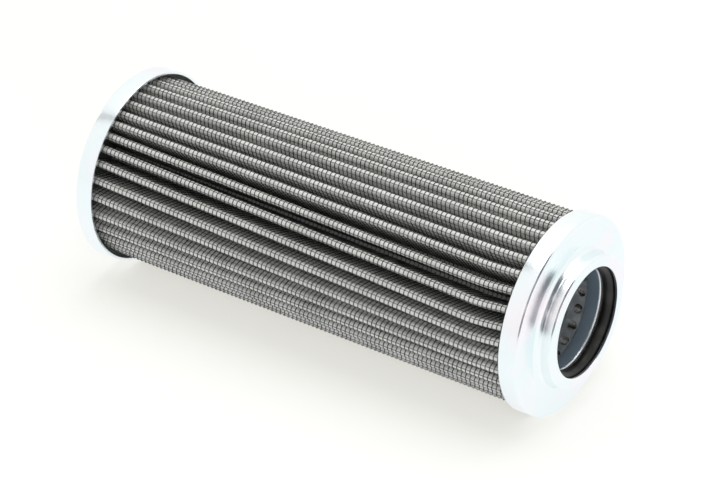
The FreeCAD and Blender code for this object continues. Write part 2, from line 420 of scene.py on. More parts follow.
@dataclass(frozen=True)
class WovenCloth(Finish):
    """Woven metal cloth, drawn on the piece's own map of fold length and height."""

    light: Color = (0.64, 0.64, 0.615)
    gap: Color = (0.34, 0.34, 0.33)
    roughness: Span = (0.42, 0.62)
    painted_shade_radii: Span = (23.5 * MM, 29.5 * MM)
    thread_pitch: float = 0.22 * MM
    thread_height: float = 0.03 * MM
    thread_share: float = 0.6
    gap_share: float = 0.35
    patch_scale: float = 90.0
    patch_span: Span = (0.35, 0.75)
    patch_depth: float = 0.18

    def pattern(self, graph: Graph) -> dict[str, Any]:
        """Threads over and under each other, darker gaps, uneven patches and painted shade in the folds'
        depth.

        Args:
            graph: The material's node tree.

        Returns:
            Values by the name of the shader's socket.
        """
        u, v, _ = graph.split(graph.node("ShaderNodeUVMap", {"uv_map": CLOTH_MAP}))
        turn = math.pi / self.thread_pitch
        crown = ((u * turn).math("SINE") * (v * turn).math("SINE")).math("ABSOLUTE").math("SQRT")
        _, _, radius, _ = graph.around_axis()
        patches = graph.noise(graph.object_place(), self.patch_scale, 3.0)
        shade = graph.clamp_range(crown, 0.0, self.gap_share)
        color = graph.mix(shade, self.gap, self.light)
        dim = tuple((1 - self.patch_depth) * c for c in self.light)
        uneven = graph.mix(graph.clamp_range(patches, *self.patch_span) * shade, color, dim)
        return {
            # Painted shade: the colour turns to the gap colour towards the folds' roots, where shade falls
            # between the pleats.
            "Base Color": graph.mix(graph.clamp_range(radius, *self.painted_shade_radii), self.gap, uneven),
            "Roughness": graph.spread(patches, self.roughness),
            "Normal": graph.bump(crown, self.thread_height, self.thread_share),
        }


@dataclass(frozen=True)
class CastEpoxy(Finish):
    """Cast adhesive with a dull skin and small bubbles."""

    # The near-black colour is partly the resin's own dark colour and partly painted shade of the recessed
    # beds between the pleats.
    color: Color = (0.022, 0.028, 0.025)
    pale: Color = (0.050, 0.058, 0.052)
    roughness: Span = (0.35, 0.60)
    cloud_scale: float = 120.0
    pit_scale: float = 900.0
    pit_span: Span = (0.0, 0.35)
    pit_depth: float = 0.08 * MM

    def pattern(self, graph: Graph) -> dict[str, Any]:
        """Clouds in the resin and a pitted skin.

        Args:
            graph: The material's node tree.

        Returns:
            Values by the name of the shader's socket.
        """
        place = graph.object_place()
        clouds = graph.noise(place, self.cloud_scale, 3.0)
        pits = graph.node("ShaderNodeTexVoronoi", None, {"Vector": place, "Scale": self.pit_scale})
        return {
            "Base Color": graph.mix(clouds, self.color, self.pale),
            "Roughness": graph.spread(clouds, self.roughness),
            "Normal": graph.bump(graph.clamp_range(pits, *self.pit_span), self.pit_depth),
        }


CAP_ZINC = BrushedZinc("zinc_cap_finish", Slot.ZINC_CAP)
SLEEVE_ZINC = SleeveZinc(
    "zinc_sleeve_finish",
    Slot.ZINC_SLEEVE,
    metallic=0.80,
    tints=((0.40, 0.49, 0.60), (0.43, 0.53, 0.63), (0.39, 0.51, 0.61), (0.46, 0.53, 0.63)),
    roughness=(0.26, 0.40),
)
SEAL_BLACK = PatchedSkin(
    "seal_rubber_finish",
    Slot.SEAL_RUBBER,
    metallic=0.0,
    roughness=(0.30, 0.52),
    constants={"Specular IOR Level": 0.32},
    color=(0.006, 0.0055, 0.005),
    patch_color=(0.022, 0.020, 0.018),
    patch_scale=160.0,
    patch_detail=2.0,
    patch_span=(0.45, 0.75),
    grain_scale=2200.0,
    grain_depth=0.012 * MM,
    rough_patches=True,
)
TUBE_DARK = TubeSteel("tube_steel_finish", Slot.TUBE_STEEL, metallic=0.4)
WIRE_DARK = PatchedSkin("mesh_wire_finish", Slot.MESH_STEEL)
WIRE_LONG = replace(
    WIRE_DARK,
    name="mesh_long_wire_finish",
    color=(0.085, 0.084, 0.080),
    patch_color=(0.24, 0.235, 0.22),
)
CLOTH_FINE = WovenCloth("medium_cloth_finish", Slot.MEDIUM_CLOTH, metallic=0.35)
CLOTH_INNER = WovenCloth(
    "inner_mesh_finish",
    Slot.MESH_STEEL,
    metallic=0.8,
    light=(0.62, 0.61, 0.58),
    gap=(0.03, 0.03, 0.03),
    painted_shade_radii=(0.0, 1.0 * MM),
    thread_pitch=1.2 * MM,
    thread_height=0.15 * MM,
    gap_share=0.6,
)
EPOXY = CastEpoxy("adhesive_finish", Slot.ADHESIVE, metallic=0.0)


# Geometry Nodes trees


@dataclass(frozen=True)
class Recipe:
    """A Geometry Nodes tree with an input for each field, and the values that one piece gives them."""

    NAME: ClassVar[str] = ""
    SOCKETS: ClassVar[dict[type, str]] = {int: "NodeSocketInt", float: "NodeSocketFloat"}

    def values(self) -> dict[str, Any]:
        """Gives the value of each named input, which has a field's name with a capital."""
        return {item.name.title(): getattr(self, item.name) for item in fields(self)}

    def shape(self, graph: Graph, given: dict[str, Term]) -> Term:
        """Builds the tree's own nodes.

        Args:
            graph: The tree.
            given: The tree's inputs by name, with the piece's geometry as Geometry.

        Returns:
            The geometry that is made.
        """
        raise NotImplementedError

    def tree(self) -> bpy.types.NodeTree:
        """Builds the tree, or gives the one that was built before.

        Returns:
            The tree, which ends in Realize Instances and Set Material.
        """
        found = bpy.data.node_groups.get(self.NAME)
        if found:
            return found
        made = bpy.data.node_groups.new(self.NAME, "GeometryNodeTree")
        made.interface.new_socket("Geometry", in_out="OUTPUT", socket_type="NodeSocketGeometry")
        own = {item.name.title(): self.SOCKETS[item.type] for item in fields(self)}
        sockets = {"Geometry": "NodeSocketGeometry", **own, "Material": "NodeSocketMaterial"}
        for name, kind in sockets.items():
            made.interface.new_socket(name, in_out="INPUT", socket_type=kind)
        graph = Graph(made)
        entry = made.nodes.new("NodeGroupInput")
        given = {name: Term(graph, entry.outputs[name]) for name in sockets}
        real = graph.node("GeometryNodeRealizeInstances", None, {"Geometry": self.shape(graph, given)})
        merge_inputs = {"Geometry": real, "Distance": MERGE_DISTANCE}
        merged = graph.node("GeometryNodeMergeByDistance", None, merge_inputs)
        real = graph.node("GeometryNodeRealizeInstances", None, {"Geometry": merged})
        dress_inputs = {"Geometry": real, "Material": given["Material"]}
        dressed = graph.node("GeometryNodeSetMaterial", None, dress_inputs)
        graph.feed(made.nodes.new("NodeGroupOutput").inputs["Geometry"], dressed)
        return made

    def add_to(self, piece: bpy.types.Object, material: bpy.types.Material) -> None:
        """Adds the tree to a piece as a modifier.

        Args:
            piece: The piece.
            material: The material that the tree sets.
        """
        modifier = piece.modifiers.new(self.NAME, "NODES")
        modifier.node_group = self.tree()
        values = {**self.values(), "Material": material}
        for item in modifier.node_group.interface.items_tree:
            if item.in_out == "INPUT" and item.name in values:
                modifier[item.identifier] = values[item.name]


@dataclass(frozen=True)
class RoundRepeat(Recipe):
    """Repeats a shape round the axis and then up it, each second row turned by a share of a step."""

    NAME: ClassVar[str] = "round_repeat"

    around: int
    rows: int = 1
    rise: float = 0.0
    stagger: float = 0.0

    def shape(self, graph: Graph, given: dict[str, Term]) -> Term:
        """Sets an instance on each point of the rows.

        Args:
            graph: The tree.
            given: The tree's inputs by name.

        Returns:
            The geometry that is made.
        """
        count = given["Around"] * given["Rows"]
        settings = {"mode": "OFFSET", "count_mode": "TOTAL"}
        line = graph.node("GeometryNodeMeshLine", settings, {"Count": count, "Offset": (0.0, 0.0, 0.0)})
        index = graph.node("GeometryNodeInputIndex")
        row = (index / given["Around"] + ROW_GUARD).math("FLOOR")
        step = index % given["Around"] + (row % 2.0) * given["Stagger"]
        height = graph.join(z=row * given["Rise"])
        points = graph.node("GeometryNodeSetPosition", None, {"Geometry": line, "Position": height})
        turn = graph.join(z=step * math.tau / given["Around"])
        rotation = graph.node("FunctionNodeEulerToRotation", None, {0: turn})
        inputs = {"Points": points, "Instance": given["Geometry"], "Rotation": rotation}
        return graph.node("GeometryNodeInstanceOnPoints", None, inputs)


@dataclass(frozen=True)
class WireSweep(Recipe):
    """Draws a round wire along each line of edges."""

    NAME: ClassVar[str] = "wire_sweep"

    radius: float
    sides: int = 4

    def shape(self, graph: Graph, given: dict[str, Term]) -> Term:
        """Sweeps a circle along the curves.

        Args:
            graph: The tree.
            given: The tree's inputs by name.

        Returns:
            The geometry that is made.
        """
        lines = graph.node("GeometryNodeMeshToCurve", None, {"Mesh": given["Geometry"]})
        profile_inputs = {"Resolution": given["Sides"], "Radius": given["Radius"]}
        profile = graph.node("GeometryNodeCurvePrimitiveCircle", {"mode": "RADIUS"}, profile_inputs)
        inputs = {"Curve": lines, "Profile Curve": profile, "Fill Caps": True}
        swept = graph.node("GeometryNodeCurveToMesh", None, inputs)
        return graph.node("GeometryNodeSetShadeSmooth", None, {0: swept, "Shade Smooth": True})


# Meshes


def polar(radius: np.ndarray | float, angle: np.ndarray) -> np.ndarray:
    """Gives the X and Y of points from their radius and angle."""
    return np.stack([radius * np.cos(angle), radius * np.sin(angle)], -1)


def run_lengths(path: np.ndarray) -> np.ndarray:
    """Gives the length along a path up to each of its points."""
    return np.concatenate([[0.0], np.cumsum(np.linalg.norm(np.diff(path, axis=0), axis=1))])


def ease(share: np.ndarray) -> np.ndarray:
    """Rises smoothly from 0 to 1, and stays level outside that span."""
    share = np.clip(share, 0, 1)
    return share * share * (3 - 2 * share)


def quad_mesh(name: str, middle: Vector, across: Vector, along: Vector) -> bpy.types.Mesh:
    """Makes a flat mesh of one face.

    Args:
        name: The mesh's name.
        middle: Its middle.
        across: From the middle to one side.
        along: From the middle to the next side.

    Returns:
        The mesh.
    """
    signs = ((-1, -1), (1, -1), (1, 1), (-1, 1))
    mesh = bpy.data.meshes.new(name)
    mesh.from_pydata([middle + across * x + along * y for x, y in signs], [], [(0, 1, 2, 3)])
    return mesh


def rounded_outline(corners: Sequence[Corner], steps: int = 6) -> list[Point2]:
    """Rounds the corners of a closed outline.

    Args:
        corners: The corners in order, each a place and the radius of its rounding.
        steps: Flats in each rounding.

    Returns:
        The points of the rounded outline.
    """
    points: list[Point2] = []
    for index, (x, y, radius) in enumerate(corners):
        here = np.array((x, y))
        if radius <= 0:
            points.append((x, y))
            continue
        before, after = (np.array(corners[(index + side) % len(corners)][:2]) - here for side in (-1, 1))
        before, after = before / np.linalg.norm(before), after / np.linalg.norm(after)
        half = math.acos(float(np.clip(before @ after, -1, 1))) / 2
        center = here + (before + after) / np.linalg.norm(before + after) * radius / math.sin(half)
        start = here + before * radius / math.tan(half) - center
        sweep = math.pi - 2 * half
        if before[0] * after[1] - before[1] * after[0] > 0:
            sweep = -sweep
        for step in range(steps + 1):
            angle = sweep * step / steps
            cos, sin = math.cos(angle), math.sin(angle)
            points.append(tuple(center + (cos * start[0] - sin * start[1], sin * start[0] + cos * start[1])))
    return points


def mark_sharp_edges(mesh: bpy.types.Mesh) -> None:
    """Shades a mesh smooth between its sharp edges.

    Args:
        mesh: The mesh.
    """
    work = bmesh.new()
    work.from_mesh(mesh)
    bmesh.ops.remove_doubles(work, verts=work.verts, dist=MERGE_DISTANCE)
    bmesh.ops.recalc_face_normals(work, faces=work.faces)
    for face in work.faces:
        face.smooth = True
    for edge in work.edges:
        edge.smooth = edge.calc_face_angle(0.0) < SHARP_ANGLE
    work.to_mesh(mesh)
    work.free()


def lathe_mesh(name: str, outline: Sequence[Point2], segments: int) -> bpy.types.Mesh:
    """Turns a closed outline round the Z axis.

    Args:
        name: The mesh's name.
        outline: Points as radius and height. Those of radius 0 become a pole.
        segments: Steps round the axis.

    Returns:
        The closed mesh.
    """
    radii, heights = np.array(outline).T
    turns = np.arange(segments)[:, None] * math.tau / segments
    levels = np.repeat(heights[None, :, None], segments, 0)
    places = np.concatenate([polar(radii, turns), levels], -1)
    count = len(outline)
    faces = []
    for turn in range(segments):
        here, there = turn * count, (turn + 1) % segments * count
        for index in range(count):
            after = (index + 1) % count
            if outline[index][0] > 0 or outline[after][0] > 0:
                faces.append((here + index, here + after, there + after, there + index))
    mesh = bpy.data.meshes.new(name)
    mesh.from_pydata(places.reshape(-1, 3).tolist(), [], faces)
    mark_sharp_edges(mesh)
    return mesh


def add_piece(name: str, mesh: bpy.types.Mesh) -> bpy.types.Object:
    """Puts a mesh in the scene as an object at the origin.

    Args:
        name: The piece's name.
        mesh: Its mesh.

    Returns:
        The object.
    """
    piece = bpy.data.objects.new(name, mesh)
    bpy.context.scene.collection.objects.link(piece)
    return piece


def bake_modifiers(piece: bpy.types.Object) -> None:
    """Turns a piece and its modifiers into a plain mesh.

    Args:
        piece: The piece.
    """
    depsgraph = bpy.context.evaluated_depsgraph_get()
    mesh = bpy.data.meshes.new_from_object(
        piece.evaluated_get(depsgraph), preserve_all_data_layers=True, depsgraph=depsgraph
    )
    piece.modifiers.clear()
    piece.data = mesh


def hand_over(piece: bpy.types.Object, finish: Finish, *nodes: str) -> None:
    """Gives a piece its finish and its place in the frame.

    Args:
        piece: The piece.
        finish: Its finish.
        nodes: The CAD nodes that it stands for.
    """
    piece.data.materials.clear()
    piece.data.materials.append(finish.material())
    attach(piece, ROOT_BODY)
    if nodes:
        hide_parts(*nodes)
    piece.data.calc_loop_triangles()
    LOG.info("%s: %d triangles", piece.name, len(piece.data.loop_triangles))


def turn_piece(name: str, outline: Sequence[Point2], segments: int, finish: Finish, node: str) -> None:
    """Turns an outline round the axis into a piece that stands for a CAD node."""
    hand_over(add_piece(name, lathe_mesh(name, outline, segments)), finish, node)


# End caps


@dataclass(frozen=True)
class PressedCap:
    """The sizes that both pressed cups share."""

    radius: float = 34.0 * MM
    sheet: float = 1.0 * MM
    corner: float = 1.0 * MM
    skirt: float = 6.8 * MM
    edge: float = 0.2 * MM
    segments: int = 192

    @property
    def bore(self) -> float:
        """Radius inside the skirt."""
        return self.radius - self.sheet


@dataclass(frozen=True)
class ClosedCap(PressedCap):
    """The plain pressed cup at the closed end."""

    inner_corner: float = 0.3 * MM

    def build(self) -> None:
        """Turns the cup's section and dresses it."""
        corners = [
            (0.0, 0.0, 0.0),
            (self.radius, 0.0, self.corner),
            (self.radius, self.skirt, self.edge),
            (self.bore, self.skirt, self.edge),
            (self.bore, self.sheet, self.inner_corner),
            (0.0, self.sheet, 0.0),
        ]
        turn_piece("closed_cap_shell", rounded_outline(corners), self.segments, CAP_ZINC, "closed_end_cap")


@dataclass(frozen=True)
class OpenCap(PressedCap):
    """The pressed cup at the open end, with the collar that holds the seal ring."""

    face: float = 175.0 * MM
    collar_radius: float = 22.7 * MM
    collar_fillet: float = 2.4 * MM
    collar_shoulder: float = 1.0 * MM
    collar_top: float = 180.8 * MM
    mouth_radius: float = 18.8 * MM

    def build(self) -> None:
        """Turns the cup's section and dresses it."""
        gland, rim = self.collar_radius - self.sheet, self.face - self.skirt
        under, lip = self.face - self.sheet, self.collar_top - self.sheet
        corners = [
            (self.bore, rim, self.edge),
            (self.radius, rim, self.edge),
            (self.radius, self.face, self.corner),
            (self.collar_radius, self.face, self.collar_fillet),
            (self.collar_radius, self.collar_top, self.collar_shoulder),
            (self.mouth_radius, self.collar_top, self.edge),
            (self.mouth_radius, lip, self.edge),
            (gland, lip, self.edge),
            (gland, under, self.collar_fillet + self.sheet),
            (self.bore, under, self.edge),
        ]
        turn_piece("open_cap_shell", rounded_outline(corners), self.segments, CAP_ZINC, "open_end_cap")


@dataclass(frozen=True)
class Mouth:
    """The guide sleeve and the seal ring inside the collar."""

    sleeve_bore: float = 17.65 * MM
    sleeve_sheet: float = 0.8 * MM
    sleeve_end: float = 170.3 * MM
    flange_radius: float = 21.6 * MM
    flange_top: float = 175.3 * MM
    sleeve_corner: float = 0.7 * MM
    ring_center: Point2 = (19.0 * MM, 177.35 * MM)
    ring_section: float = 2.0 * MM
    ring_steps: int = 32
    edge: float = 0.15 * MM
    segments: int = 160

    def build(self) -> None:
        """Turns both pieces and dresses them."""
        outer, under = self.sleeve_bore + self.sleeve_sheet, self.flange_top - self.sleeve_sheet
        corners = [
            (self.sleeve_bore, self.sleeve_end, self.edge),
            (outer, self.sleeve_end, self.edge),
            (outer, under, self.edge),
            (self.flange_radius, under, self.edge),
            (self.flange_radius, self.flange_top, self.edge),
            (self.sleeve_bore, self.flange_top, self.sleeve_corner),
        ]
        turn_piece("guide_sleeve_shell", rounded_outline(corners), self.segments, SLEEVE_ZINC, "guide_sleeve")
        angles = math.tau * np.arange(self.ring_steps) / self.ring_steps
        ring = (self.ring_center + polar(self.ring_section, angles)).tolist()
        turn_piece("seal_ring_body", ring, self.segments, SEAL_BLACK, "seal_ring")


# Support tube


@dataclass(frozen=True)
class SupportTube:
    """The perforated tube, made of one holed tile that is repeated round and up, between two plain bands."""

    bore: float = 18.5 * MM
    radius: float = 19.3 * MM
    bottom: float = 3.5 * MM
    top: float = 174.5 * MM
    holes_around: int = 20
    hole_rows: int = 32
    row_pitch: float = 5.07 * MM
    last_row_top: float = 170.2 * MM
    hole_radius: float = 1.7 * MM
    side_steps: int = 4

    @property
    def first_row_bottom(self) -> float:
        """Height where the perforation starts."""
        return self.last_row_top - self.hole_rows * self.row_pitch

    def tile(self) -> bpy.types.Mesh:
        """Builds the holed tile of the lowest row.

        Returns:
            The tile, open where the next tiles join it.
        """
        middle = (self.bore + self.radius) / 2
        half_size = (math.pi / self.holes_around * middle, self.row_pitch / 2)
        steps = np.linspace(-1, 1, self.side_steps + 1)[:-1]
        ones = np.ones_like(steps)
        sides = [(steps, -ones), (ones, steps), (-steps, ones), (-ones, -steps)]
        square = np.concatenate([np.stack(side, -1) for side in sides])
        hole = polar(self.hole_radius, np.arctan2(square[:, 1], square[:, 0]))
        flat = np.concatenate([square * half_size, hole])
        angle, height = flat[:, 0] / middle, flat[:, 1] + self.first_row_bottom + half_size[1]
        layers = [np.column_stack([polar(radius, angle), height]) for radius in (self.radius, self.bore)]
        count = len(square)
        faces = []
        for index in range(count):
            after = (index + 1) % count
            rim, rim_after = index + count, after + count
            faces.append((index, after, rim_after, rim))
            faces.append(tuple(2 * count + corner for corner in (rim, rim_after, after, index)))
            faces.append((rim, rim_after, rim_after + 2 * count, rim + 2 * count))
        mesh = bpy.data.meshes.new("tube_tile")
        mesh.from_pydata(np.concatenate(layers).tolist(), [], faces)
        return mesh

    def band(self, bottom: float, top: float) -> bpy.types.Mesh:
        """Turns a plain band of the tube, whose corners meet those of the tiles."""
        outline = [(self.bore, bottom), (self.radius, bottom), (self.radius, top), (self.bore, top)]
        return lathe_mesh("tube_band", outline, self.holes_around * self.side_steps)

    def build(self) -> None:
        """Repeats the tile, adds the bands and dresses the tube."""
        tube = add_piece("perforated_tube", self.tile())
        repeat = RoundRepeat(self.holes_around, self.hole_rows, self.row_pitch, stagger=0.5)
        repeat.add_to(tube, TUBE_DARK.material())
        bake_modifiers(tube)
        work = bmesh.new()
        work.from_mesh(tube.data)
        for ends in ((self.bottom, self.first_row_bottom), (self.last_row_top, self.top)):
            work.from_mesh(self.band(*ends))
        work.to_mesh(tube.data)
        work.free()
        mark_sharp_edges(tube.data)
        hand_over(tube, TUBE_DARK, "support_tube")


# Pleated pack


@dataclass(frozen=True)
class Fold:
    """The fold of one pleat, drawn about the middle of the pack's thickness."""

    count: int = 35
    tip_center: float = 30.7 * MM
    tip_radius: float = 0.9 * MM
    root_center: float = 20.98 * MM
    tip_flats: int = 8
    root_flats: int = 2

    @property
    def pitch(self) -> float:
        """Angle from pleat to pleat."""
        return math.tau / self.count

    def path(self, offset: float) -> np.ndarray:
        """Draws the fold of the pleat on +X, from the middle of one root to the middle of the next.

        Args:
            offset: Distance from the middle of the pack's thickness, above 0 to the outside.

        Returns:
            Points as X and Y, one row each.
        """
        half = self.pitch / 2
        root = self.root_center * np.array((math.cos(half), math.sin(half)))
        root_radius = root[1] - self.tip_radius - offset
        root_angles = np.linspace(math.pi + half, 1.5 * math.pi, self.root_flats + 1)
        tip_angles = np.linspace(math.pi / 2, 0.0, self.tip_flats // 2 + 1)
        root_arc = polar(root_radius, root_angles) + root
        tip_arc = polar(self.tip_radius + offset, tip_angles) + (self.tip_center, 0.0)
        right = np.concatenate([root_arc, tip_arc])
        return np.concatenate([right * (1.0, -1.0), right[::-1][1:]])


@dataclass(frozen=True)
class Bell:
    """A bell over the angles about the axis, with a flatter top at a higher power."""

    height_deg: float
    center_deg: float
    width_deg: float
    power: int = 2

    def at(self, angle_deg: np.ndarray) -> np.ndarray:
        """Gives the bell's height at angles."""
        off = (angle_deg - self.center_deg + 180) % 360 - 180
        return self.height_deg * np.exp(-(np.abs(off / self.width_deg) ** self.power))


@dataclass(frozen=True)
class Lean:
    """How the pleats crowd and lean on the photographed side, as turns about the axis.

    The other side and the seam's pleat run straight.
    """

    fold: Fold
    bottom: float
    top: float
    seam_deg: float = 93.6
    crowd: Bell = Bell(-8.0, -21.4, 38.0)
    lean: Bell = Bell(9.3, -19.4, 27.0)
    lean_side: Bell = Bell(2.9, -37.0, 85.0, power=4)
    turn_back: float = 0.17
    turn_back_from: float = 0.9
    stray_deg: float = 0.35
    tip_flare: float = 0.4 * MM
    tip_stray: float = 0.10 * MM
    free_deg: float = 2.9
    seed: int = 11

    def turn_deg(self, pleat: np.ndarray, share: np.ndarray) -> np.ndarray:
        """Gives the turn of pleats at heights.

        Args:
            pleat: Pleat numbers, counted from the seam's pleat.
            share: Heights as a share of the pack's.

        Returns:
            The turn of each, in degrees.
        """
        pleat = pleat.astype(int) % self.fold.count
        angle = self.seam_deg + pleat * math.degrees(self.fold.pitch)
        lean = self.lean_side.at(angle) + self.lean.at(angle)
        end = (share - self.turn_back_from) / (1 - self.turn_back_from)
        rise = np.minimum(share / self.turn_back_from, 1.0) - self.turn_back * ease(end)
        random = np.random.default_rng(self.seed)
        stray = random.uniform(-self.stray_deg, self.stray_deg, (2, self.fold.count))
        stray[:, 0] = 0.0
        low, high = stray[:, pleat]
        return self.crowd.at(angle) + lean * rise + low * (1 - share) + high * share

    def bend(self, mesh: bpy.types.Mesh) -> None:
        """Moves a mesh of the straight pack to where the real pleats lie.

        Args:
            mesh: The mesh, whose pleats are on even angles from the seam.
        """
        points = np.empty(len(mesh.vertices) * 3)
        mesh.vertices.foreach_get("co", points)
        points = points.reshape(-1, 3)
        radius = np.hypot(points[:, 0], points[:, 1])
        angle = np.degrees(np.arctan2(points[:, 1], points[:, 0]))
        share = np.clip((points[:, 2] - self.bottom) / (self.top - self.bottom), 0, 1)
        pitch = math.degrees(self.fold.pitch)
        pleat = np.round((angle - self.seam_deg) / pitch)
        local = angle - self.seam_deg - pleat * pitch
        blend = ease((np.abs(local) - self.free_deg) / (pitch / 2 - self.free_deg)) / 2
        own, beside = self.turn_deg(pleat, share), self.turn_deg(pleat + np.sign(local), share)
        angle = np.radians(angle + own * (1 - blend) + beside * blend)
        depth = self.fold.tip_center - self.fold.root_center
        reach = np.clip((radius - self.fold.root_center) / depth, 0, None)
        random = np.random.default_rng(self.seed + 1)
        stray = random.uniform(-self.tip_stray, self.tip_stray, self.fold.count)
        own_stray = stray[pleat.astype(int) % self.fold.count]
        radius = radius + reach * (self.tip_flare * (2 * share - 1) + own_stray)
        points[:, 0], points[:, 1] = radius * np.cos(angle), radius * np.sin(angle)
        mesh.vertices.foreach_set("co", points.ravel())
        mesh.update()


@dataclass(frozen=True)
class PleatedPack:
    """The coarse outer mesh, the fine filter cloth and the inner mesh, folded together."""

    bottom: float = 3.5 * MM
    top: float = 171.5 * MM
    fold: Fold = Fold()
    medium_faces: Span = (0.32 * MM, -0.19 * MM)
    inner_faces: Span = (-0.21 * MM, -0.60 * MM)
    round_wire_radius: float = 0.15 * MM
    round_wire_offset: float = 0.42 * MM
    round_wire_pitch: float = 1.66 * MM
    long_wire_radius: float = 0.11 * MM
    long_wire_offset: float = 0.40 * MM
    long_wires_per_pleat: int = 14
    wire_groups: int = 3
    near_share: float = 0.84
    far_rows: int = 18
    near_rows: int = 12

    @property
    def lean(self) -> Lean:
        """How the pack's pleats lean."""
        return Lean(self.fold, self.bottom, self.top)

    @property
    def heights(self) -> np.ndarray:
        """Spaces the sheet's rows.

        Returns:
            Their heights, closer together near the open end, where the pleats bend back.
        """
        near = self.bottom + self.near_share * (self.top - self.bottom)
        far_part = np.linspace(self.bottom, near, self.far_rows, endpoint=False)
        return np.concatenate([far_part, np.linspace(near, self.top, self.near_rows)])

    def turned(self, path: np.ndarray) -> np.ndarray:
        """Turns a pleat's path from +X to the seam's pleat.

        Args:
            path: Points as X and Y, one row each.

        Returns:
            The turned points.
        """
        turn = math.radians(Lean.seam_deg)
        cos, sin = math.cos(turn), math.sin(turn)
        return path @ np.array([[cos, sin], [-sin, cos]])

    def sheet_strip(self, name: str, faces: Span) -> bpy.types.Mesh:
        """Builds one pleat of a folded sheet, with its map of fold length and height.

        Args:
            name: The mesh's name.
            faces: Offsets of the sheet's outer and inner face.

        Returns:
            The pleat, open where the next pleats join it.
        """
        heights = self.heights
        paths = [self.turned(self.fold.path(offset)) for offset in faces]
        along = run_lengths(self.fold.path(sum(faces) / 2))
        count, rows = len(along), len(heights)
        levels = np.repeat(heights, count).reshape(rows, count, 1)
        layers = [np.concatenate([np.repeat(path[None], rows, 0), levels], -1) for path in paths]
        places = np.concatenate(layers).reshape(-1, 3)
        maps = np.tile(np.stack([np.tile(along, rows), np.repeat(heights, count)], -1), (2, 1))
        inner = rows * count
        quads = []
        for row in range(rows - 1):
            for index in range(count - 1):
                corner = row * count + index
                quad = (corner, corner + 1, corner + count + 1, corner + count)
                quads += [quad, tuple(inner + c for c in reversed(quad))]
        for index in range(count - 1):
            high = (rows - 1) * count + index
            quads.append((index + 1, index, inner + index, inner + index + 1))
            quads.append((high, high + 1, inner + high + 1, inner + high))
        mesh = bpy.data.meshes.new(name)
        mesh.from_pydata(places.tolist(), [], quads)
        layer = mesh.uv_layers.new(name=CLOTH_MAP)
        layer.uv.foreach_set("vector", maps[np.array(quads).ravel()].astype(np.float32).ravel())
        return mesh

    def build_sheet(self, name: str, faces: Span, finish: Finish, node: str) -> None:
        """Repeats a sheet's pleat round the axis, bends it and dresses it.

        Args:
            name: The piece's name.
            faces: Offsets of the sheet's outer and inner face.
            finish: Its finish.
            node: The CAD node that it stands for.
        """
        sheet = add_piece(name, self.sheet_strip(name, faces))
        RoundRepeat(self.fold.count).add_to(sheet, finish.material())
        bake_modifiers(sheet)
        mark_sharp_edges(sheet.data)
        self.lean.bend(sheet.data)
        hand_over(sheet, finish, node)

    def edge_lines(self, name: str, lines: Sequence[np.ndarray]) -> bpy.types.Mesh:
        """Makes a mesh of open lines.

        Args:
            name: The mesh's name.
            lines: The points of each line.

        Returns:
            The mesh of edges.
        """
        edges, start = [], 0
        for line in lines:
            edges += [(start + index, start + index + 1) for index in range(len(line) - 1)]
            start += len(line)
        mesh = bpy.data.meshes.new(name)
        mesh.from_pydata(np.concatenate(lines).tolist(), edges, [])
        return mesh

    def build_round_wires(self) -> None:
        """Lays the wires that follow the folds round the pack, in groups up its height."""
        rows = int((self.top - self.bottom) / self.round_wire_pitch)
        first = (self.bottom + self.top - (rows - 1) * self.round_wire_pitch) / 2
        path = self.turned(self.fold.path(self.round_wire_offset))
        for group in range(self.wire_groups):
            start, end = (round(rows * share / self.wire_groups) for share in (group, group + 1))
            height = np.full((len(path), 1), first + start * self.round_wire_pitch)
            name = f"round_wires_{group + 1}"
            wires = add_piece(name, self.edge_lines(name, [np.concatenate([path, height], -1)]))
            steel = WIRE_DARK.material()
            RoundRepeat(self.fold.count).add_to(wires, steel)
            WireSweep(self.round_wire_radius).add_to(wires, steel)
            RoundRepeat(1, end - start, self.round_wire_pitch).add_to(wires, steel)
            bake_modifiers(wires)
            self.lean.bend(wires.data)
            hand_over(wires, WIRE_DARK, "outer_support_mesh")

    def build_long_wires(self) -> None:
        """Lays the wires that run along the pleats."""
        path = self.turned(self.fold.path(self.long_wire_offset))
        along = run_lengths(path)
        stations = (np.arange(self.long_wires_per_pleat) + 0.5) / self.long_wires_per_pleat * along[-1]
        feet = np.stack([np.interp(stations, along, path[:, axis]) for axis in (0, 1)], -1)
        heights = self.heights[:, None]
        lines = [np.concatenate([np.repeat(foot[None], len(heights), 0), heights], -1) for foot in feet]
        wires = add_piece("long_wires", self.edge_lines("long_wires", lines))
        steel = WIRE_LONG.material()
        WireSweep(self.long_wire_radius).add_to(wires, steel)
        RoundRepeat(self.fold.count).add_to(wires, steel)
        bake_modifiers(wires)
        self.lean.bend(wires.data)
        hand_over(wires, WIRE_LONG, "outer_support_mesh")

    def build(self) -> None:
        """Builds the three folded layers."""
        self.build_sheet("medium_folds", self.medium_faces, CLOTH_FINE, "filter_medium")
        self.build_sheet("inner_mesh_folds", self.inner_faces, CLOTH_INNER, "inner_support_mesh")
        self.build_round_wires()
        self.build_long_wires()


# Adhesive, which keeps its CAD shape


@dataclass(frozen=True)
class Adhesive:
    """The cast beds in both caps and the bond of the side seam."""

    nodes: tuple[str, ...] = ("closed_end_adhesive", "open_end_adhesive", "side_seam_bond")

    def build(self) -> None:
        """Gives the CAD nodes their finish."""
        for name in self.nodes:
            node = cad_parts[name]
            for slot in node.material_slots:
                slot.material = EPOXY.material()
            LOG.info("%s keeps its CAD shape", name)


# Stage


def bare_material(name: str) -> tuple[bpy.types.Material, Graph]:
    """Makes a material that has nothing but its output.

    Args:
        name: The material's name.

    Returns:
        The material and its node tree.
    """
    made = bpy.data.materials.new(name)
    made.use_nodes = True
    made.node_tree.nodes.remove(made.node_tree.nodes["Principled BSDF"])
    return made, Graph(made.node_tree)


